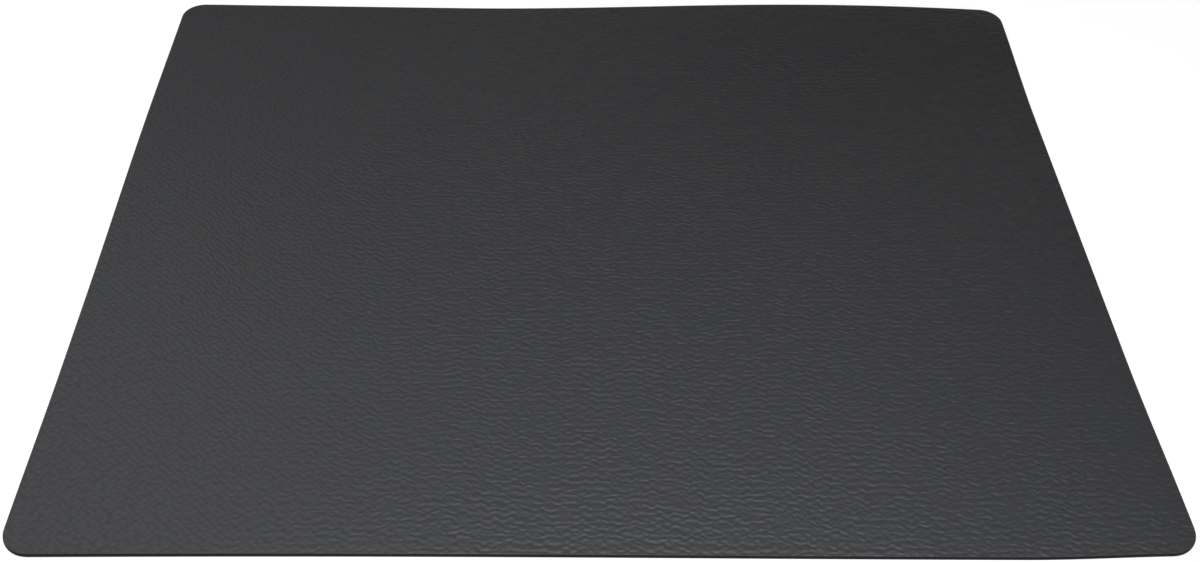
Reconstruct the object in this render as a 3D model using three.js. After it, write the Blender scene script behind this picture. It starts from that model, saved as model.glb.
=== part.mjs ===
// Desk mat: grained leather bonded over a stiff fibre board and a felt backing, with a painted cut edge.
// Millimetres, +Z up. The origin is on the desk under the middle of the mat,
// +X runs along the long side to the right and +Y runs to the back.
import * as THREE from 'three';

// The sheet
const matLength = 650;
const matWidth = 500;
const cornerRadius = 16;

// The layers, from the desk up
const feltThickness = 0.6;
const backingFilmThickness = 0.1;
const boardThickness = 1;
const coverFilmThickness = 0.1;
const leatherThickness = 1.2;

// The cut edge
const burnishRadius = 0.5; // top corner of the leather, rubbed round
const paintThickness = 0.25; // edge paint where it is fullest
const paintLift = 0.2; // the paint stops this far above the underside

// Where the rim stands a little off the desk, as a stiff sheet does that was kept rolled
const backRiseHeight = 8.1;
const backRiseReach = 304;
const frontRiseHeight = 3.1;
const frontRiseReach = 440;
const sideRiseHeight = 2.1;
const sideRiseReach = 167;
const cornerRiseHeight = 4.3;
const cornerRiseLongReach = 97;
const cornerRiseShortReach = 143;
const riseDepth = 130; // how far in from the rim a rise of the edge fades out

// How finely the sheet is divided
const cornerSteps = 6;
const longSideSteps = 16;
const shortSideSteps = 12;
const burnishSteps = 3;
const paintSteps = 4;
const ringInsetShares = [0.06, 0.16, 0.3, 0.44, 0.56]; // of half the width, from the rim inwards
const innermostRadiusShare = 0.25; // of the corner radius, for the rings well inside the sheet

const halfLength = matLength / 2;
const halfWidth = matWidth / 2;

// Each rise has its middle on the rim, at a share of half the mat's length and of half its width
const rises = [
  { placeShares: [0.59, 1], height: backRiseHeight, reachX: backRiseReach, reachY: riseDepth },
  { placeShares: [-0.49, -1], height: frontRiseHeight, reachX: frontRiseReach, reachY: riseDepth },
  { placeShares: [-1, 0.39], height: sideRiseHeight, reachX: riseDepth, reachY: sideRiseReach },
  { placeShares: [1, -1], height: cornerRiseHeight, reachX: cornerRiseLongReach, reachY: cornerRiseShortReach },
];

// One at its middle and zero from its reach outwards, with a smooth slope between
function fade(distance, reach) {
  return Math.abs(distance) < reach ? (1 + Math.cos((Math.PI * distance) / reach)) / 2 : 0;
}

// How far the sheet stands off the desk at a place
function liftAt(x, y) {
  return rises.reduce((lift, rise) => {
    const [shareX, shareY] = rise.placeShares;
    const fadeX = fade(x - shareX * halfLength, rise.reachX);
    const fadeY = fade(y - shareY * halfWidth, rise.reachY);
    return lift + rise.height * fadeX * fadeY;
  }, 0);
}

// Points round the mat at an inset from its cut edge, anticlockwise from the front right corner.
// A negative inset lies outside the cut edge. Every inset has the same number of points.
function outlineAt(inset) {
  const radius = Math.max(cornerRadius - inset, innermostRadiusShare * cornerRadius);
  const x = halfLength - inset - radius;
  const y = halfWidth - inset - radius;
  const quarter = Math.PI / 2;
  const path = new THREE.Path();
  path.absarc(x, -y, radius, -quarter, 0);
  path.absarc(x, y, radius, 0, quarter);
  path.absarc(-x, y, radius, quarter, Math.PI);
  path.absarc(-x, -y, radius, Math.PI, Math.PI + quarter);
  path.closePath();
  const steps = [cornerSteps, shortSideSteps, cornerSteps, longSideSteps];
  return path.curves.flatMap((curve, index) => curve.getPoints(steps[index % steps.length]).slice(0, -1));
}

// Carries a profile round the mat, as a lathe carries one round its axis, and bends it over the rises.
// A profile is a list of { inset, level }. An open one starts and ends well inside the sheet,
// where a fan of triangles closes it, and a closed one runs back to its start.
function loftRound(profile, closed) {
  const rings = profile.map(({ inset, level }) =>
    outlineAt(inset).map(({ x, y }) => [x, y, level + liftAt(x, y)]),
  );
  const count = rings[0].length;
  const positions = rings.flat(2);
  const indices = [];
  const spans = closed ? profile.length : profile.length - 1;
  for (let j = 0; j < spans; j += 1) {
    const next = (j + 1) % profile.length;
    const runsInwards = profile[next].inset > profile[j].inset;
    for (let i = 0; i < count; i += 1) {
      const beside = (i + 1) % count;
      const [a, b, c, d] = [j * count + i, j * count + beside, next * count + beside, next * count + i];
      // The diagonal joins the same corners on both faces of a glue line, so bent layers meet all over
      indices.push(...(runsInwards ? [a, b, d, b, c, d] : [a, b, c, a, c, d]));
    }
  }
  if (!closed) {
    [0, profile.length - 1].forEach((j) => {
      const centre = positions.length / 3;
      positions.push(0, 0, profile[j].level + liftAt(0, 0));
      for (let i = 0; i < count; i += 1) {
        const [near, beside] = [j * count + i, j * count + ((i + 1) % count)];
        indices.push(...(j === 0 ? [centre, beside, near] : [centre, near, beside]));
      }
    });
  }
  const geometry = new THREE.BufferGeometry();
  geometry.setAttribute('position', new THREE.Float32BufferAttribute(positions, 3));
  geometry.setIndex(indices);
  geometry.computeVertexNormals();
  return geometry;
}

// Levels of the glue lines: felt, film, board, film and leather lie on these in turn
const feltLevel = 0;
const backingFilmLevel = feltLevel + feltThickness;
const boardLevel = backingFilmLevel + backingFilmThickness;
const coverFilmLevel = boardLevel + boardThickness;
const leatherLevel = coverFilmLevel + coverFilmThickness;
const topLevel = leatherLevel + leatherThickness;
const paintTopLevel = topLevel - burnishRadius;
const paintBottomLevel = feltLevel + paintLift;

const insetsInwards = ringInsetShares.map((share) => share * halfWidth);
const insetsOutwards = [...insetsInwards].reverse();

// A layer cut square at the edge, from its underside level up to its top level
function squareLayer(bottomLevel, upperLevel) {
  return loftRound(
    [
      ...insetsOutwards.map((inset) => ({ inset, level: bottomLevel })),
      { inset: 0, level: bottomLevel },
      { inset: 0, level: upperLevel },
      ...insetsInwards.map((inset) => ({ inset, level: upperLevel })),
    ],
    false,
  );
}

// The leather's wall ends in a quarter round that leads onto its grained face
function leatherLayer() {
  const round = Array.from({ length: burnishSteps + 1 }, (_, step) => {
    const angle = (Math.PI / 2) * (step / burnishSteps);
    return {
      inset: burnishRadius * (1 - Math.cos(angle)),
      level: paintTopLevel + burnishRadius * Math.sin(angle),
    };
  });
  return loftRound(
    [
      ...insetsOutwards.map((inset) => ({ inset, level: leatherLevel })),
      { inset: 0, level: leatherLevel },
      ...round,
      ...insetsInwards.map((inset) => ({ inset, level: topLevel })),
    ],
    false,
  );
}

// The paint lies flat on the cut layers and domes outwards between its two thin edges
function paintBand() {
  const middle = (paintTopLevel + paintBottomLevel) / 2;
  const halfHeight = (paintTopLevel - paintBottomLevel) / 2;
  const dome = Array.from({ length: paintSteps + 1 }, (_, step) => {
    const angle = Math.PI * (step / paintSteps);
    return { inset: -paintThickness * Math.sin(angle), level: middle - halfHeight * Math.cos(angle) };
  });
  const glueLevels = [leatherLevel, coverFilmLevel, boardLevel, backingFilmLevel];
  const againstLayers = glueLevels.map((level) => ({ inset: 0, level }));
  return loftRound([...dome, ...againstLayers], true);
}

const finishes = {
  leather: new THREE.MeshStandardMaterial({ color: '#3d3d40', roughness: 0.55, metalness: 0 }),
  film: new THREE.MeshStandardMaterial({ color: '#d9d2bd', roughness: 0.35, metalness: 0 }),
  board: new THREE.MeshStandardMaterial({ color: '#5f5145', roughness: 0.85, metalness: 0 }),
  felt: new THREE.MeshStandardMaterial({ color: '#2a2a2c', roughness: 0.95, metalness: 0 }),
  paint: new THREE.MeshStandardMaterial({ color: '#232326', roughness: 0.4, metalness: 0 }),
};

const mat = new THREE.Group();
mat.name = 'desk_mat';

function addPiece(name, geometry, material) {
  const piece = new THREE.Mesh(geometry, material.clone());
  piece.name = name;
  mat.add(piece);
}

addPiece('felt_backing', squareLayer(feltLevel, backingFilmLevel), finishes.felt);
addPiece('backing_adhesive', squareLayer(backingFilmLevel, boardLevel), finishes.film);
addPiece('core_board', squareLayer(boardLevel, coverFilmLevel), finishes.board);
addPiece('cover_adhesive', squareLayer(coverFilmLevel, leatherLevel), finishes.film);
addPiece('leather_cover', leatherLayer(), finishes.leather);
addPiece('edge_seal', paintBand(), finishes.paint);

export default mat;
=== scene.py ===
# %% [markdown]
# A desk mat is a thin laminate: a sheet of pebble-grained leather, a stiff fibre board under it and felt
# below, glued with two films, cut through in one stroke and sealed round the cut edge with dark paint.
# The model is loaded first as a fixed frame of plain solids, and each layer is then made again here with
# the fine surface that a camera sees. Everything is in metres, and +Z is up.

# %% Load the frame
import math
import bpy
from mathutils import Matrix, Vector


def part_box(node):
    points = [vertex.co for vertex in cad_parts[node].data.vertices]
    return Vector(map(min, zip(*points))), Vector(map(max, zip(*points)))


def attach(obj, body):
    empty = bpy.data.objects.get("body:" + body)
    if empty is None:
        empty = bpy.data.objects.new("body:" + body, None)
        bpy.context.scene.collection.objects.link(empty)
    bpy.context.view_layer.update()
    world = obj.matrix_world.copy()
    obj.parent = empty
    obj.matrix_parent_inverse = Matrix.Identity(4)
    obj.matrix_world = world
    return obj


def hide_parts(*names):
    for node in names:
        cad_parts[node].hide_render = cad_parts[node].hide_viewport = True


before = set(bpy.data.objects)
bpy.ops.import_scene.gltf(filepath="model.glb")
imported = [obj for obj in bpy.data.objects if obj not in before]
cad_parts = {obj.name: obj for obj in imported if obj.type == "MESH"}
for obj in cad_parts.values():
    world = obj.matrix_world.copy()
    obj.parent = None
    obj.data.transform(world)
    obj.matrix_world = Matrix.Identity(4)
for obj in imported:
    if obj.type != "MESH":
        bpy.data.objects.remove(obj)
scene = bpy.context.scene
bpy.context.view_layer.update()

# %% [markdown]
# The outline comes from the frame, so each layer fits the solid that it stands for. How thick a layer is
# can't be read from the box of a bent sheet, so the layers are listed in millimetres, from the desk up.

# %% Sizes of the mat
MM = 0.001
felt_low, felt_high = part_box("felt_backing")
LENGTH = felt_high.x - felt_low.x
WIDTH = felt_high.y - felt_low.y
CORNER_RADIUS = 16 * MM
BURNISH_RADIUS = 0.5 * MM
PAINT_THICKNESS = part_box("edge_seal")[1].x - felt_high.x
PAINT_LIFT = 0.2 * MM
THICKNESS = {
    "felt": 0.6 * MM,
    "lower film": 0.1 * MM,
    "board": 1 * MM,
    "upper film": 0.1 * MM,
    "leather": 1.2 * MM,
}

level = felt_low.z
LEVEL = {}
for layer, thickness in THICKNESS.items():
    LEVEL[layer] = level
    level += thickness
TOP_LEVEL = level
print(f"mat {LENGTH:.4f} x {WIDTH:.4f}, top at {TOP_LEVEL:.4f}, paint {PAINT_THICKNESS:.5f}")

# %% [markdown]
# A sheet this stiff never lies quite flat: its rim stands off the desk in a few long, low rises, and the
# middle rests. Each rise has its middle on the rim and fades out along X and along Y as a cosine does, so
# the sheet bends without a crease. The frame bends its solids by the same rule and the same sizes.

# %% Rises of the rim
RISE_DEPTH = 130 * MM
RISES = [
    {"place shares": (0.59, 1), "height": 8.1 * MM, "reach": (304 * MM, RISE_DEPTH)},
    {"place shares": (-0.49, -1), "height": 3.1 * MM, "reach": (440 * MM, RISE_DEPTH)},
    {"place shares": (-1, 0.39), "height": 2.1 * MM, "reach": (RISE_DEPTH, 167 * MM)},
    {"place shares": (1, -1), "height": 4.3 * MM, "reach": (97 * MM, 143 * MM)},
]
print("rises:", len(RISES), "highest", max(rise["height"] for rise in RISES))

# %% [markdown]
# Every tree below, of geometry and of shaders alike, is built from one small function. It adds a node,
# sets its properties and fills its inputs: a number goes into the socket, and a node or an output is
# linked to it, or a list of them where the socket takes several. A second one starts a geometry tree with
# named inputs.

# %% Add a node, and start a tree
def add(tree, kind, inputs=None, **properties):
    node = tree.nodes.new(kind)
    for name, value in properties.items():
        setattr(node, name, value)
    for name, value in (inputs or {}).items():
        usable = [s for s in node.inputs if s.enabled and s.name == name] or [node.inputs[name]]
        for source in value if isinstance(value, list) else [value]:
            if isinstance(source, bpy.types.Node):
                source = next(output for output in source.outputs if output.enabled)
            if isinstance(source, bpy.types.NodeSocket):
                tree.links.new(source, usable[0])
            else:
                usable[0].default_value = source
    return node


def new_tree(name, inputs, output, kind):
    tree = bpy.data.node_groups.new(name, "GeometryNodeTree")
    for label, input_kind in inputs.items():
        tree.interface.new_socket(label, in_out="INPUT", socket_type="NodeSocket" + input_kind)
    tree.interface.new_socket(output, in_out="OUTPUT", socket_type="NodeSocket" + kind)
    return tree, add(tree, "NodeGroupInput").outputs


print("Blender", bpy.app.version_string)

# %% [markdown]
# The rise of the rim is a group of its own, so the layers and the edge paint bend alike. One small group
# gives the fade, which is one at a rise's middle and zero from its reach outwards, and the loop adds the
# rises up.

# %% Geometry group: how far the sheet stands off the desk
fade_tree, given = new_tree("Fade", {"Distance": "Float", "Reach": "Float"}, "Fade", "Float")
far = add(fade_tree, "ShaderNodeMath", {0: given["Distance"]}, operation="ABSOLUTE")
share = add(fade_tree, "ShaderNodeMath", {0: far, 1: given["Reach"]}, operation="DIVIDE", use_clamp=True)
angle = add(fade_tree, "ShaderNodeMath", {0: share, 1: math.pi}, operation="MULTIPLY")
wave = add(fade_tree, "ShaderNodeMath", {0: angle}, operation="COSINE")
fade = add(fade_tree, "ShaderNodeMath", {0: wave, 1: 0.5, 2: 0.5}, operation="MULTIPLY_ADD")
add(fade_tree, "NodeGroupOutput", {"Fade": fade})

lift_tree, given = new_tree("Lift of the sheet", {"Level": "Float"}, "Offset", "Vector")
place = add(lift_tree, "ShaderNodeSeparateXYZ", {0: add(lift_tree, "GeometryNodeInputPosition")})
lift = given["Level"]
for rise in RISES:
    product = rise["height"]
    for axis, half in ((0, LENGTH / 2), (1, WIDTH / 2)):
        middle = rise["place shares"][axis] * half
        away = add(lift_tree, "ShaderNodeMath", {0: place.outputs[axis], 1: middle}, operation="SUBTRACT")
        inputs = {"Distance": away, "Reach": rise["reach"][axis]}
        fade = add(lift_tree, "GeometryNodeGroup", inputs, node_tree=fade_tree)
        product = add(lift_tree, "ShaderNodeMath", {0: product, 1: fade}, operation="MULTIPLY")
    lift = add(lift_tree, "ShaderNodeMath", {0: lift, 1: product}, operation="ADD")
offset = add(lift_tree, "ShaderNodeCombineXYZ", {"Z": lift})
add(lift_tree, "NodeGroupOutput", {"Offset": offset})
print("lift group:", len(lift_tree.nodes), "nodes")

# %% [markdown]
# A layer starts as a flat grid whose four corners are pressed round. Past the inner rectangle, a point of
# the grid lies in a square at the corner, and scaling it by its longer side over its length brings the
# square into a quarter circle. The grid keeps even cells that way, which a filled outline wouldn't have,
# and the sheet can bend anywhere.

# %% Geometry group: a flat sheet with round corners
SHEET_INPUTS = {"Length": "Float", "Width": "Float", "Corner Radius": "Float", "Spacing": "Float"}
flat_tree, given = new_tree("Flat sheet", SHEET_INPUTS, "Mesh", "Geometry")
size = add(flat_tree, "ShaderNodeCombineXYZ", {"X": given["Length"], "Y": given["Width"]})
counts = {}
for side in ("Length", "Width"):
    cells = add(flat_tree, "ShaderNodeMath", {0: given[side], 1: given["Spacing"]}, operation="DIVIDE")
    counts[side] = add(flat_tree, "ShaderNodeMath", {0: cells, 1: 1.0}, operation="ADD")
inputs = {"Size X": given["Length"], "Size Y": given["Width"]}
inputs |= {"Vertices X": counts["Length"], "Vertices Y": counts["Width"]}
grid = add(flat_tree, "GeometryNodeMeshGrid", inputs)
position = add(flat_tree, "GeometryNodeInputPosition")
away = add(flat_tree, "ShaderNodeVectorMath", {0: position}, operation="ABSOLUTE")
half = add(flat_tree, "ShaderNodeVectorMath", {0: size, "Scale": 0.5}, operation="SCALE")
radius = add(flat_tree, "ShaderNodeCombineXYZ", {"X": given["Corner Radius"], "Y": given["Corner Radius"]})
inner = add(flat_tree, "ShaderNodeVectorMath", {0: half, 1: radius}, operation="SUBTRACT")
kept = add(flat_tree, "ShaderNodeVectorMath", {0: away, 1: inner}, operation="MINIMUM")
past = add(flat_tree, "ShaderNodeVectorMath", {0: away, 1: kept}, operation="SUBTRACT")
sides = add(flat_tree, "ShaderNodeSeparateXYZ", {0: past})
longer = add(flat_tree, "ShaderNodeMath", {0: sides.outputs["X"], 1: sides.outputs["Y"]}, operation="MAXIMUM")
reach = add(flat_tree, "ShaderNodeVectorMath", {0: past}, operation="LENGTH").outputs["Value"]
ratio = add(flat_tree, "ShaderNodeMath", {0: longer, 1: reach}, operation="DIVIDE")
pressed = add(flat_tree, "ShaderNodeVectorMath", {0: past, "Scale": ratio}, operation="SCALE")
rounded = add(flat_tree, "ShaderNodeVectorMath", {0: kept, 1: pressed}, operation="ADD")
quadrant = add(flat_tree, "ShaderNodeVectorMath", {0: position}, operation="SIGN")
final = add(flat_tree, "ShaderNodeVectorMath", {0: rounded, 1: quadrant}, operation="MULTIPLY")
shaped = add(flat_tree, "GeometryNodeSetPosition", {"Geometry": grid, "Position": final})
add(flat_tree, "NodeGroupOutput", {"Mesh": shaped})
print("flat sheet group:", len(flat_tree.nodes), "nodes")

# %% [markdown]
# Every layer is that flat sheet given a thickness: it is extruded upwards, a turned-over copy closes it
# from below, and the points that meet are merged. Only the leather's face gets an unevenness, a few
# hundredths of a millimetre that soften its highlight. The edge along the top rim is given a bevel weight,
# so a modifier can round that edge alone. Then the whole block is bent and set on its level, and last it
# gets its materials, because a hide has one finish on its face and another on its flesh side.

# %% Geometry tree: one bent layer
LAYER_INPUTS = {"Level": "Float", "Thickness": "Float", "Unevenness": "Float"}
LAYER_INPUTS |= {"Material": "Material", "Face Material": "Material"}
WAVE_LENGTH = 40 * MM
MERGE_DISTANCE = 0.01 * MM
RIM_ANGLE = math.radians(45)
layer_tree, given = new_tree("Bent layer", SHEET_INPUTS | LAYER_INPUTS, "Mesh", "Geometry")
inputs = {label: given[label] for label in SHEET_INPUTS}
flat = add(layer_tree, "GeometryNodeGroup", inputs, node_tree=flat_tree)
inputs = {"Mesh": flat, "Offset Scale": given["Thickness"], "Individual": False}
raised = add(layer_tree, "GeometryNodeExtrudeMesh", inputs)
face = raised.outputs["Top"]
noise = add(layer_tree, "ShaderNodeTexNoise", {"Scale": 1 / WAVE_LENGTH, "Detail": 1.0})
wave = add(layer_tree, "ShaderNodeMath", {0: noise, 1: 0.5}, operation="SUBTRACT")
swing = add(layer_tree, "ShaderNodeMath", {0: wave, 1: given["Unevenness"]}, operation="MULTIPLY")
shift = add(layer_tree, "ShaderNodeCombineXYZ", {"Z": swing})
inputs = {"Geometry": raised, "Selection": face, "Offset": shift}
uneven = add(layer_tree, "GeometryNodeSetPosition", inputs)
under = add(layer_tree, "GeometryNodeFlipFaces", {"Mesh": flat})
both = add(layer_tree, "GeometryNodeJoinGeometry", {"Geometry": [uneven, under]})
block = add(layer_tree, "GeometryNodeMergeByDistance", {"Geometry": both, "Distance": MERGE_DISTANCE})
fold = add(layer_tree, "GeometryNodeInputMeshEdgeAngle").outputs["Unsigned Angle"]
sharp = add(layer_tree, "ShaderNodeMath", {0: fold, 1: RIM_ANGLE}, operation="GREATER_THAN")
point = add(layer_tree, "GeometryNodeInputPosition")
height = add(layer_tree, "ShaderNodeSeparateXYZ", {0: point}).outputs["Z"]
middle = add(layer_tree, "ShaderNodeMath", {0: given["Thickness"], 1: 0.5}, operation="MULTIPLY")
upper = add(layer_tree, "ShaderNodeMath", {0: height, 1: middle}, operation="GREATER_THAN")
weight = add(layer_tree, "ShaderNodeMath", {0: sharp, 1: upper}, operation="MULTIPLY")
inputs = {"Geometry": block, "Name": "bevel_weight_edge", "Value": weight}
weighted = add(layer_tree, "GeometryNodeStoreNamedAttribute", inputs, domain="EDGE")
bend = add(layer_tree, "GeometryNodeGroup", {"Level": given["Level"]}, node_tree=lift_tree)
bent = add(layer_tree, "GeometryNodeSetPosition", {"Geometry": weighted, "Offset": bend})
real = add(layer_tree, "GeometryNodeRealizeInstances", {"Geometry": bent})
plain = add(layer_tree, "GeometryNodeSetMaterial", {"Geometry": real, "Material": given["Material"]})
inputs = {"Geometry": plain, "Selection": face, "Material": given["Face Material"]}
faced = add(layer_tree, "GeometryNodeSetMaterial", inputs)
add(layer_tree, "NodeGroupOutput", {"Mesh": faced})
print("bent layer tree:", len(layer_tree.nodes), "nodes")

# %% [markdown]
# Edge paint is a bead that a wheel rolls along the cut: flat against the layers and domed outwards. It
# follows a path, so it is a curve with a profile. A half circle, closed and pressed flat, runs round a
# rectangle with filleted corners, and then bends with the sheet.

# %% Geometry tree: the bead of edge paint
BEAD_INPUTS = SHEET_INPUTS | {"Bottom": "Float", "Top": "Float", "Bulge": "Float", "Material": "Material"}
BEAD_SIDES = 12
CORNER_POINTS = 24
bead_tree, given = new_tree("Bead of edge paint", BEAD_INPUTS, "Mesh", "Geometry")
inputs = {"Width": given["Length"], "Height": given["Width"]}
square = add(bead_tree, "GeometryNodeCurvePrimitiveQuadrilateral", inputs)
inputs = {"Curve": square, "Radius": given["Corner Radius"], "Count": CORNER_POINTS}
fillet = add(bead_tree, "GeometryNodeFilletCurve", inputs, mode="POLY")
inputs = {"Curve": fillet, "Length": given["Spacing"]}
path = add(bead_tree, "GeometryNodeResampleCurve", inputs, mode="LENGTH")
upright = add(bead_tree, "GeometryNodeSetCurveNormal", {"Curve": path}, mode="Z_UP")
inputs = {"Resolution": BEAD_SIDES + 1, "Radius": 1.0}
inputs |= {"Start Angle": -math.pi / 2, "Sweep Angle": math.pi}
dome = add(bead_tree, "GeometryNodeCurveArc", inputs, mode="RADIUS")
closed = add(bead_tree, "GeometryNodeSetSplineCyclic", {"Geometry": dome, "Cyclic": True})
tall = add(bead_tree, "ShaderNodeMath", {0: given["Top"], 1: given["Bottom"]}, operation="SUBTRACT")
half = add(bead_tree, "ShaderNodeMath", {0: tall, 1: 0.5}, operation="MULTIPLY")
scale = add(bead_tree, "ShaderNodeCombineXYZ", {"X": given["Bulge"], "Y": half, "Z": 1.0})
profile = add(bead_tree, "GeometryNodeTransform", {"Geometry": closed, "Scale": scale})
bead = add(bead_tree, "GeometryNodeCurveToMesh", {"Curve": upright, "Profile Curve": profile})
ends = add(bead_tree, "ShaderNodeMath", {0: given["Top"], 1: given["Bottom"]}, operation="ADD")
middle = add(bead_tree, "ShaderNodeMath", {0: ends, 1: 0.5}, operation="MULTIPLY")
bend = add(bead_tree, "GeometryNodeGroup", {"Level": middle}, node_tree=lift_tree)
bent = add(bead_tree, "GeometryNodeSetPosition", {"Geometry": bead, "Offset": bend})
real = add(bead_tree, "GeometryNodeRealizeInstances", {"Geometry": bent})
painted = add(bead_tree, "GeometryNodeSetMaterial", {"Geometry": real, "Material": given["Material"]})
add(bead_tree, "NodeGroupOutput", {"Mesh": painted})
print("bead tree:", len(bead_tree.nodes), "nodes")

# %% [markdown]
# A tree is run by a Geometry Nodes modifier on an empty mesh. Its inputs are set by the sockets'
# identifiers, the evaluated result is kept as a plain mesh, and the modifiers go. The leather's top edge is
# rubbed round before it is painted, and a Bevel modifier does that in a few steps. Faces are shaded smooth
# except where they fold sharply, as at a cut edge.

# %% Turn a tree into a plain mesh
SHARP_ANGLE = math.radians(40)
BURNISH_STEPS = 4


def make_piece(name, tree, values, burnish=0.0):
    piece = bpy.data.objects.new(name, bpy.data.meshes.new(name))
    scene.collection.objects.link(piece)
    shape = piece.modifiers.new("Shape", "NODES")
    shape.node_group = tree
    for socket in tree.interface.items_tree:
        if socket.name in values:
            shape[socket.identifier] = values[socket.name]
    if burnish:
        bevel = piece.modifiers.new("Burnished edge", "BEVEL")
        bevel.limit_method = "WEIGHT"
        bevel.width = burnish
        bevel.segments = BURNISH_STEPS
    graph = bpy.context.evaluated_depsgraph_get()
    mesh = bpy.data.meshes.new_from_object(piece.evaluated_get(graph))
    piece.modifiers.clear()
    piece.data = mesh
    mesh.name = name
    mesh.shade_smooth()
    mesh.set_sharp_from_angle(angle=SHARP_ANGLE)
    triangles = sum(len(face.vertices) - 2 for face in mesh.polygons)
    print(f"{name}: {triangles} triangles")
    return piece

# %% [markdown]
# Colours are written as sRGB hex values, as a picture shows them, and one function turns them to the
# linear numbers that a shader computes with. A material starts from a Principled shader, and what is the
# same all over the surface is set on the shader's own sockets.

# %% Colours, an empty material and its shader
def linear(colour):
    channels = [int(colour[start:start + 2], 16) / 255 for start in (1, 3, 5)]
    return tuple(c / 12.92 if c <= 0.04045 else ((c + 0.055) / 1.055) ** 2.4 for c in channels) + (1.0,)


def new_material(name):
    material = bpy.data.materials.new(name)
    material.use_nodes = True
    tree = material.node_tree
    tree.nodes.clear()
    return material, tree, add(tree, "ShaderNodeTexCoord").outputs["Object"]


def shade(tree, settings):
    shader = add(tree, "ShaderNodeBsdfPrincipled", settings)
    add(tree, "ShaderNodeOutputMaterial", {"Surface": shader})


print("charcoal #3b3c3e is", [round(channel, 4) for channel in linear("#3b3c3e")])

# %% [markdown]
# The leather's face is a pebble grain: low domes parted by soft creases. It is far finer than the mesh, so
# it is a relief that the material draws, and it is built up in four cells. The first one says where the
# grain lies. At the left end the pebbles are round. Over the rest of the hide they are pulled out sideways,
# so X is pressed together there before the pattern is laid out. A slow noise bends the rows into streams,
# and a quick one makes the pebbles unlike each other.

# %% Material: pebbled leather, the lie of the grain
ROW = 4.5 * MM
PULL, ROUND_PULL = 0.5, 0.88
ROUND_UP_TO = -168 * MM
PULL_EASE = 80 * MM
STREAMS = {"size": 50 * MM, "along Y": 0.3, "shift": (7 * MM, 9 * MM, 0)}
VARIETY = {"size": 6 * MM, "along Y": 1.0, "shift": (5 * MM, 0.6 * MM, 0)}
# Drum-dyed, pigmented and rolled hide: nearly black, with the dull gloss of its finish
leather, tree, coordinates = new_material("Pebbled leather")
place = add(tree, "ShaderNodeSeparateXYZ", {0: coordinates}).outputs
past = add(tree, "ShaderNodeMath", {0: place["X"], 1: ROUND_UP_TO}, operation="SUBTRACT")
left = add(tree, "ShaderNodeMath", {0: past, 1: 0.0, 2: PULL_EASE}, operation="SMOOTH_MIN")
pulled = add(tree, "ShaderNodeMath", {0: place["X"], 1: PULL}, operation="MULTIPLY")
across = add(tree, "ShaderNodeMath", {0: left, 1: ROUND_PULL - PULL, 2: pulled}, operation="MULTIPLY_ADD")
plane = add(tree, "ShaderNodeCombineXYZ", {"X": across, "Y": place["Y"]})
for wander in (STREAMS, VARIETY):
    inputs = {0: coordinates, 1: (1.0, wander["along Y"], 1.0)}
    spread = add(tree, "ShaderNodeVectorMath", inputs, operation="MULTIPLY")
    noise = add(tree, "ShaderNodeTexNoise", {"Vector": spread, "Scale": 1 / wander["size"], "Detail": 1.0})
    inputs = {0: noise.outputs["Color"], 1: wander["shift"], 2: plane}
    plane = add(tree, "ShaderNodeVectorMath", inputs, operation="MULTIPLY_ADD")
moved = add(tree, "ShaderNodeSeparateXYZ", {0: plane}).outputs
print("lie of the grain:", len(tree.nodes), "nodes")

# %% [markdown]
# The second cell draws the single pebbles. They stand in staggered rows, which run slantwise both ways, so
# they are Voronoi cells on a plane whose axes are the two slants. Each cell is a dome that is highest in its
# middle, and the smoothing softens the creases between them.

# %% Pebbled leather: the pebbles
DOME_REACH = 0.8
rising = add(tree, "ShaderNodeMath", {0: moved["Y"], 1: moved["X"]}, operation="SUBTRACT")
falling = add(tree, "ShaderNodeMath", {0: moved["Y"], 1: moved["X"]}, operation="ADD")
slants = add(tree, "ShaderNodeCombineXYZ", {"X": rising, "Y": falling})
inputs = {"Vector": slants, "Scale": 1 / ROW, "Smoothness": 0.7, "Randomness": 0.48}
cells = add(tree, "ShaderNodeTexVoronoi", inputs, voronoi_dimensions="2D", feature="SMOOTH_F1")
inputs = {"Value": cells, "From Max": DOME_REACH, "To Min": 1.0, "To Max": 0.0}
domes = add(tree, "ShaderNodeMapRange", inputs, interpolation_type="SMOOTHSTEP")
print("pebbles:", len(tree.nodes), "nodes so far")

# %% [markdown]
# Past the left end the pebbles run together sideways into wavy rows, which a pattern of cells alone doesn't
# give. The third cell mixes in ridges for that: a sine across the rows, set wobbling by noise. A power below
# one widens the ridges and narrows the creases between them.

# %% Pebbled leather: the wavy rows
WOBBLE = {"size": 4.5 * MM, "along Y": 0.7, "shift": 7.2 * MM}
RIDGE_POWER = 0.7
ROWS_BEGIN, ROWS_FULL = -260 * MM, -160 * MM
ROWS_SHARE = 0.42
inputs = {0: coordinates, 1: (1.0, WOBBLE["along Y"], 1.0)}
spread = add(tree, "ShaderNodeVectorMath", inputs, operation="MULTIPLY")
noise = add(tree, "ShaderNodeTexNoise", {"Vector": spread, "Scale": 1 / WOBBLE["size"], "Detail": 0.5})
bent = add(tree, "ShaderNodeMath", {0: noise, 1: WOBBLE["shift"], 2: moved["Y"]}, operation="MULTIPLY_ADD")
turns = add(tree, "ShaderNodeMath", {0: bent, 1: 2 * math.pi / ROW}, operation="MULTIPLY")
waves = add(tree, "ShaderNodeMath", {0: turns}, operation="SINE")
swell = add(tree, "ShaderNodeMapRange", {"Value": waves, "From Min": -1.0})
ridges = add(tree, "ShaderNodeMath", {0: swell, 1: RIDGE_POWER}, operation="POWER")
inputs = {"Value": place["X"], "From Min": ROWS_BEGIN, "From Max": ROWS_FULL, "To Max": ROWS_SHARE}
share = add(tree, "ShaderNodeMapRange", inputs)
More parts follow.
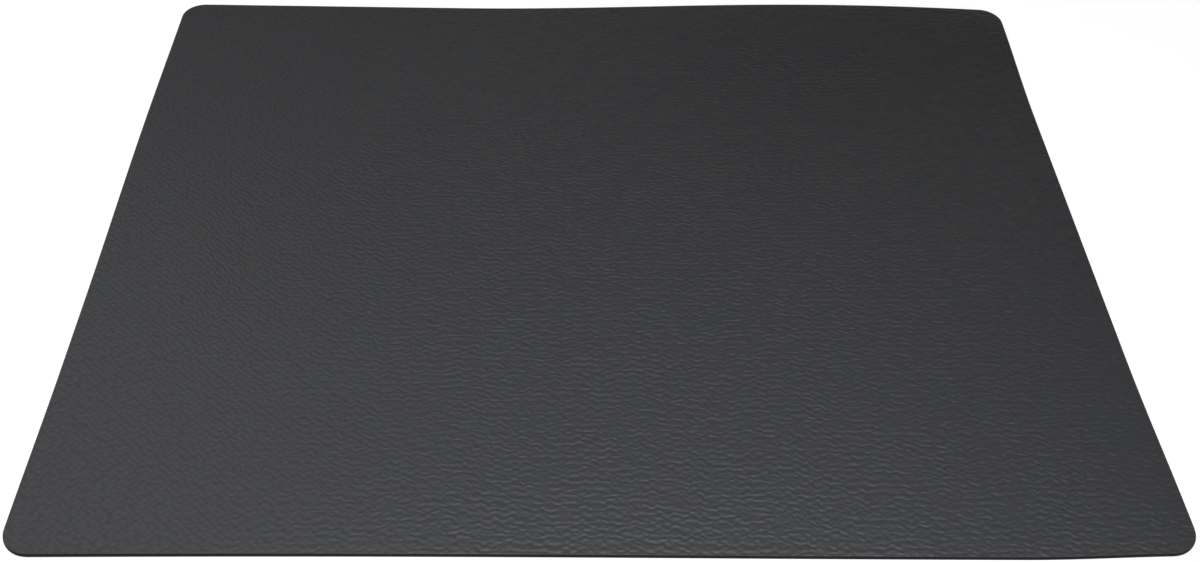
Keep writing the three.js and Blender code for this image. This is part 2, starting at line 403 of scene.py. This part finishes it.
tops = add(tree, "ShaderNodeMix", {"Factor": share, "A": domes, "B": ridges})
print("wavy rows:", len(tree.nodes), "nodes so far")

# %% [markdown]
# The last cell turns the pattern into relief, colour and gloss. The relief is shallow at the left end and
# deepens over the hide and towards the back. The creases are painted a little darker than the tops, as
# painted shade, and handling has polished the tops. Where the rim is rubbed round, the leather is darker and
# duller, by how far its surface turns away from upright, so the normal says where the rim is.

# %% Pebbled leather: relief, colour and gloss
RELIEF = 0.6 * MM
PORE = 0.6 * MM
PORE_SHARE = 0.05
SHALLOW_UP_TO, DEEP_FROM = -280 * MM, -80 * MM
SHALLOW_SHARE = 0.42
FRONT, BACK = -150 * MM, 50 * MM
BACK_SHARE = 1.4
RIM_TURNED, RIM_BEGINS = 0.6, 0.92
RIM_DULLNESS = 0.3
pores = add(tree, "ShaderNodeTexNoise", {"Vector": coordinates, "Scale": 1 / PORE, "Detail": 3.0})
height = add(tree, "ShaderNodeMath", {0: pores, 1: PORE_SHARE, 2: tops}, operation="MULTIPLY_ADD")
inputs = {"Value": place["Y"], "From Min": FRONT, "From Max": BACK, "To Min": 1.0, "To Max": BACK_SHARE}
deeper = add(tree, "ShaderNodeMapRange", inputs)
inputs = {"Value": place["X"], "From Min": SHALLOW_UP_TO, "From Max": DEEP_FROM}
inputs |= {"To Min": SHALLOW_SHARE * RELIEF, "To Max": RELIEF}
depth = add(tree, "ShaderNodeMapRange", inputs)
depth = add(tree, "ShaderNodeMath", {0: depth, 1: deeper}, operation="MULTIPLY")
bump = add(tree, "ShaderNodeBump", {"Distance": depth, "Height": height})
# Painted shade: the creases take the darker colour and the tops the paler one.
inputs = {"Factor": tops, "A": linear("#333436"), "B": linear("#3b3c3e")}
colour = add(tree, "ShaderNodeMix", inputs, data_type="RGBA")
normal = add(tree, "ShaderNodeTexCoord").outputs["Normal"]
upright = add(tree, "ShaderNodeSeparateXYZ", {0: normal}).outputs["Z"]
inputs = {"Value": upright, "From Min": RIM_TURNED, "From Max": RIM_BEGINS, "To Min": 1.0, "To Max": 0.0}
rim = add(tree, "ShaderNodeMapRange", inputs)
# The rim's colour goes darker as its surface turns away from upright.
inputs = {"Factor": rim, "A": colour, "B": linear("#131315")}
colour = add(tree, "ShaderNodeMix", inputs, data_type="RGBA")
rough = add(tree, "ShaderNodeMapRange", {"Value": tops, "To Min": 0.65, "To Max": 0.52})
rough = add(tree, "ShaderNodeMath", {0: rim, 1: RIM_DULLNESS, 2: rough}, operation="MULTIPLY_ADD")
shade(tree, {"Base Color": colour, "Roughness": rough, "IOR": 1.5, "Normal": bump})
print("leather material:", len(tree.nodes), "nodes")

# %% [markdown]
# The flesh side of the leather, the board, the felt and the films are hidden in the mat, but each is a
# part of its own, so each gets the finish of the real stuff. All four are fibres or a film, and noise at
# two sizes draws them: a coarse one for clouds of colour, and a fine one for fibres. Each finish is listed
# with its dark and pale colour, the size of its clouds, the length and width of its fibres, its relief and
# its roughness.

# %% Materials: the hidden layers
FIBRES = {
    # Split hide, buffed: a short nap without gloss
    "Suede flesh side": ("#2b2624", "#4a423d", 9 * MM, (0.35 * MM, 0.35 * MM), 0.05 * MM, 0.95),
    # Leather fibres and latex, pressed into board: brown, with pale flecks drawn out lengthwise
    "Bonded fibre board": ("#54463a", "#75634f", 12 * MM, (2.4 * MM, 0.5 * MM), 0.04 * MM, 0.85),
    # Needled polyester felt: matt, its fibres tangled and mostly lengthwise
    "Needled felt": ("#19191b", "#37373b", 6 * MM, (1.6 * MM, 0.3 * MM), 0.12 * MM, 1.0),
    # Acrylic transfer film: clear glue, creamy over the board, with the faint ripple of its liner
    "Acrylic adhesive film": ("#cdc5ae", "#ddd7c4", 20 * MM, (1.1 * MM, 1.1 * MM), 0.01 * MM, 0.3),
}
hidden = {}
for name, (dark, pale, cloud, fibre, relief, roughness) in FIBRES.items():
    material, tree, coordinates = new_material(name)
    clouds = add(tree, "ShaderNodeTexNoise", {"Vector": coordinates, "Scale": 1 / cloud, "Detail": 2.0})
    inputs = {"Vector": coordinates, "Scale": (1 / fibre[0], 1 / fibre[1], 1 / fibre[1])}
    drawn = add(tree, "ShaderNodeMapping", inputs)
    inputs = {"Vector": drawn, "Scale": 1.0, "Detail": 4.0, "Roughness": 0.6, "Distortion": 0.6}
    fibres = add(tree, "ShaderNodeTexNoise", inputs)
    mixed = add(tree, "ShaderNodeMath", {0: clouds, 1: fibres}, operation="ADD")
    share = add(tree, "ShaderNodeMapRange", {"Value": mixed, "From Min": 0.7, "From Max": 1.3})
    inputs = {"Factor": share, "A": linear(dark), "B": linear(pale)}
    colour = add(tree, "ShaderNodeMix", inputs, data_type="RGBA")
    bump = add(tree, "ShaderNodeBump", {"Distance": relief, "Height": fibres})
    shade(tree, {"Base Color": colour, "Roughness": roughness, "Normal": bump})
    hidden[name] = material
print("hidden layers:", ", ".join(hidden))

# %% [markdown]
# Edge paint is an acrylic coat, rolled on in two or three passes. It dries to a dull black skin with slow
# waves along the edge, and handling leaves it duller still in places. In the photograph the edge hardly
# shines, so its specular level is turned down.

# %% Material: edge paint
PAINT_WAVE = 7 * MM
PAINT_RELIEF = 0.05 * MM
paint, tree, coordinates = new_material("Acrylic edge paint")
passes = add(tree, "ShaderNodeTexNoise", {"Vector": coordinates, "Scale": 1 / PAINT_WAVE, "Detail": 3.0})
inputs = {"Factor": passes, "A": linear("#0f0f11"), "B": linear("#19191b")}
colour = add(tree, "ShaderNodeMix", inputs, data_type="RGBA")
rough = add(tree, "ShaderNodeMapRange", {"Value": passes, "To Min": 0.5, "To Max": 0.7})
bump = add(tree, "ShaderNodeBump", {"Distance": PAINT_RELIEF, "Height": passes})
inputs = {"Base Color": colour, "Roughness": rough, "Normal": bump}
shade(tree, inputs | {"Specular IOR Level": 0.12, "IOR": 1.46})
print("paint material:", len(tree.nodes), "nodes")

# %% [markdown]
# Now the pieces are made, from the desk up, and each one takes the place of its plain solid. The leather
# has the finest cells, so its rubbed rim and its slow bends stay smooth. Each piece is listed with its
# layer, the solid that it replaces, its slot, the size of its cells and its finish.

# %% Make the layers
HIDDEN_CELL = 4 * MM
LEATHER_CELL = 2.7 * MM
LEATHER_UNEVENNESS = 0.08 * MM
LAYERS = {
    "felt_sheet": ("felt", "felt_backing", "felt", HIDDEN_CELL, "Needled felt"),
    "lower_film": ("lower film", "backing_adhesive", "adhesive", HIDDEN_CELL, "Acrylic adhesive film"),
    "fibre_board": ("board", "core_board", "board", HIDDEN_CELL, "Bonded fibre board"),
    "upper_film": ("upper film", "cover_adhesive", "adhesive", HIDDEN_CELL, "Acrylic adhesive film"),
    "leather_sheet": ("leather", "leather_cover", "leather", LEATHER_CELL, "Suede flesh side"),
}
outline = {"Length": LENGTH, "Width": WIDTH, "Corner Radius": CORNER_RADIUS}
pieces = {}
for name, (layer, node, slot, spacing, finish) in LAYERS.items():
    is_leather = name == "leather_sheet"
    values = outline | {"Spacing": spacing, "Level": LEVEL[layer], "Thickness": THICKNESS[layer]}
    values |= {"Material": hidden[finish], "Face Material": leather if is_leather else hidden[finish]}
    values |= {"Unevenness": LEATHER_UNEVENNESS if is_leather else 0.0}
    piece = make_piece(name, layer_tree, values, BURNISH_RADIUS if is_leather else 0.0)
    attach(piece, "root")
    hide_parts(node)
    pieces[name] = piece

# %% [markdown]
# The round that the bevel makes takes the finish of the cut beside it, which is the hide's flesh side. On
# the real mat the round is the edge of the grain side, rubbed over. So every face that looks upwards at
# all gets the grain side's finish, down to where the cut stands upright.

# %% Grain side on the rubbed rim
UPRIGHT_CUT = 0.05
leather_mesh = pieces["leather_sheet"].data
grain_side = leather_mesh.materials.find(leather.name)
upward = [face for face in leather_mesh.polygons if face.normal.z > UPRIGHT_CUT]
for face in upward:
    face.material_index = grain_side
print("grain side:", len(upward), "of", len(leather_mesh.polygons), "faces of the leather")

# %% [markdown]
# The edge paint comes last, as it does at the bench. It reaches from just above the desk, so that it
# doesn't scrape off there, up to the foot of the rubbed round.

# %% Make the edge paint
PAINT_CELL = 1.6 * MM
values = outline | {"Spacing": PAINT_CELL, "Bulge": PAINT_THICKNESS, "Material": paint}
values |= {"Bottom": LEVEL["felt"] + PAINT_LIFT, "Top": TOP_LEVEL - BURNISH_RADIUS}
bead = make_piece("edge_paint", bead_tree, values)
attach(bead, "root")
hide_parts("edge_seal")

print("sheets: leather and felt")

# %% [markdown]
# The camera stands about 0.6 m in front of the mat's middle and as high above it, and looks down at 47
# degrees. Its place, turn and lens were worked out from the photograph's outline of the mat.

# %% Camera
SENSOR_WIDTH, FOCAL_LENGTH = 36, 38.709
CAMERA_PLACE = Vector((-0.0267, -0.6139, 0.6132))
PITCH, YAW, ROLL = (math.radians(angle) for angle in (47.08, 2.61, 2.34))
forward = Vector((math.sin(YAW) * math.cos(PITCH), math.cos(YAW) * math.cos(PITCH), -math.sin(PITCH)))
right = Vector((math.cos(YAW), -math.sin(YAW), 0))
turn = Matrix((right, right.cross(forward), -forward)).transposed()
camera = bpy.data.objects.new("Camera", bpy.data.cameras.new("Camera"))
camera.data.sensor_width = SENSOR_WIDTH
camera.data.lens = FOCAL_LENGTH
stand = Matrix.Translation(CAMERA_PLACE)
camera.matrix_world = stand @ turn.to_4x4() @ Matrix.Rotation(ROLL, 4, "Z")
scene.collection.objects.link(camera)
scene.camera = camera
print("camera at", tuple(round(c, 3) for c in CAMERA_PLACE))

# %% [markdown]
# The mat lies on a white sweep: a round floor that curves up into a low wall. It is a ring of points carried
# outwards and up, with a face between each four of them.

# %% Shape of the white sweep
FLOOR_RADIUS = 6.0
FLOOR_LEVEL = -0.1 * MM
COVE = 0.6
WALL_HEIGHT = 1.6
SEGMENTS = 96
COVE_STEPS = 8
rings = [(FLOOR_RADIUS - COVE, 0.0)]
for step in range(1, COVE_STEPS + 1):
    angle = math.pi / 2 * step / COVE_STEPS
    rings.append((FLOOR_RADIUS - COVE + COVE * math.sin(angle), COVE * (1 - math.cos(angle))))
rings.append((FLOOR_RADIUS, WALL_HEIGHT))
points = []
for radius, height in rings:
    for step in range(SEGMENTS):
        angle = 2 * math.pi * step / SEGMENTS
        points.append((radius * math.cos(angle), radius * math.sin(angle), FLOOR_LEVEL + height))
faces = [tuple(range(SEGMENTS))]
for ring in range(len(rings) - 1):
    for step in range(SEGMENTS):
        near, beside = ring * SEGMENTS + step, ring * SEGMENTS + (step + 1) % SEGMENTS
        faces.append((near, near + SEGMENTS, beside + SEGMENTS, beside))
sweep_mesh = bpy.data.meshes.new("Sweep")
sweep_mesh.from_pydata(points, [], faces)
sweep_mesh.shade_smooth()
sweep = bpy.data.objects.new("Sweep", sweep_mesh)
scene.collection.objects.link(sweep)
print("sweep:", len(sweep_mesh.polygons), "faces")

# %% [markdown]
# The lamps light the mat at a plain level, which alone would leave the paper grey. So its material glows
# white to the camera and in reflections, and keeps a part of its shading there, so that the mat's soft
# shadow stays. From below the paper is clear, which lets the underside of the mat be looked at.

# %% Material: white paper sweep
GLOW = 1.17
GLOW_SHARE = 0.8
paper = bpy.data.materials.new("White paper sweep")
paper.use_nodes = True
tree = paper.node_tree
tree.nodes.clear()
ray = add(tree, "ShaderNodeLightPath").outputs
shown = add(tree, "ShaderNodeMath", {0: ray["Is Camera Ray"], 1: ray["Is Glossy Ray"]}, operation="MAXIMUM")
shown = add(tree, "ShaderNodeMath", {0: shown, 1: ray["Is Transmission Ray"]}, operation="MAXIMUM")
white_share = add(tree, "ShaderNodeMath", {0: shown, 1: GLOW_SHARE}, operation="MULTIPLY")
matt = add(tree, "ShaderNodeBsdfDiffuse", {"Color": linear("#f4f4f4")})
glow = add(tree, "ShaderNodeEmission", {"Strength": GLOW})
upper = add(tree, "ShaderNodeMixShader", {0: white_share, 1: matt, 2: glow})
back = add(tree, "ShaderNodeNewGeometry").outputs["Backfacing"]
clear = add(tree, "ShaderNodeBsdfTransparent")
surface = add(tree, "ShaderNodeMixShader", {0: back, 1: upper, 2: clear})
add(tree, "ShaderNodeOutputMaterial", {"Surface": surface})
sweep_mesh.materials.append(paper)
print("paper material:", len(tree.nodes), "nodes")

# %% [markdown]
# Dark leather shows its grain when the light comes from one side. The main light is a softbox that stands in
# front of the mat and above it, on the camera's side, and picks out the near side of every row. A second one
# hangs beyond the left end, turned straight down, and brightens that end softly. The world adds a faint even
# light, and is white where the camera sees it.

# %% Lamps and world
WORLD_LIGHT = 0.04
LAMPS = [
    {"name": "Softbox", "place": (0.06, -0.46, 0.56), "aim": (0, 0, 0), "size": 0.5, "power": 4.8},
    {"name": "Left softbox", "place": (-0.6, 0.1, 0.6), "aim": (-0.6, 0.1, 0), "size": 0.6, "power": 1.9},
]
for lamp in LAMPS:
    light = bpy.data.lights.new(lamp["name"], "AREA")
    light.size = lamp["size"]
    light.energy = lamp["power"]
    holder = bpy.data.objects.new(lamp["name"], light)
    holder.location = lamp["place"]
    line = Vector(lamp["aim"]) - holder.location
    holder.rotation_euler = line.to_track_quat("-Z", "Y").to_euler()
    holder.visible_camera = False
    scene.collection.objects.link(holder)

world = bpy.data.worlds.new("Studio")
scene.world = world
world.use_nodes = True
tree = world.node_tree
tree.nodes.clear()
ray = add(tree, "ShaderNodeLightPath").outputs
dim = add(tree, "ShaderNodeBackground", {"Color": (1, 1, 1, 1), "Strength": WORLD_LIGHT})
white = add(tree, "ShaderNodeBackground", {"Color": (1, 1, 1, 1), "Strength": 1.0})
seen = add(tree, "ShaderNodeMixShader", {0: ray["Is Camera Ray"], 1: dim, 2: white})
add(tree, "ShaderNodeOutputWorld", {"Surface": seen})
scene.view_settings.view_transform = "Standard"
print("lamps:", ", ".join(lamp["name"] for lamp in LAMPS))
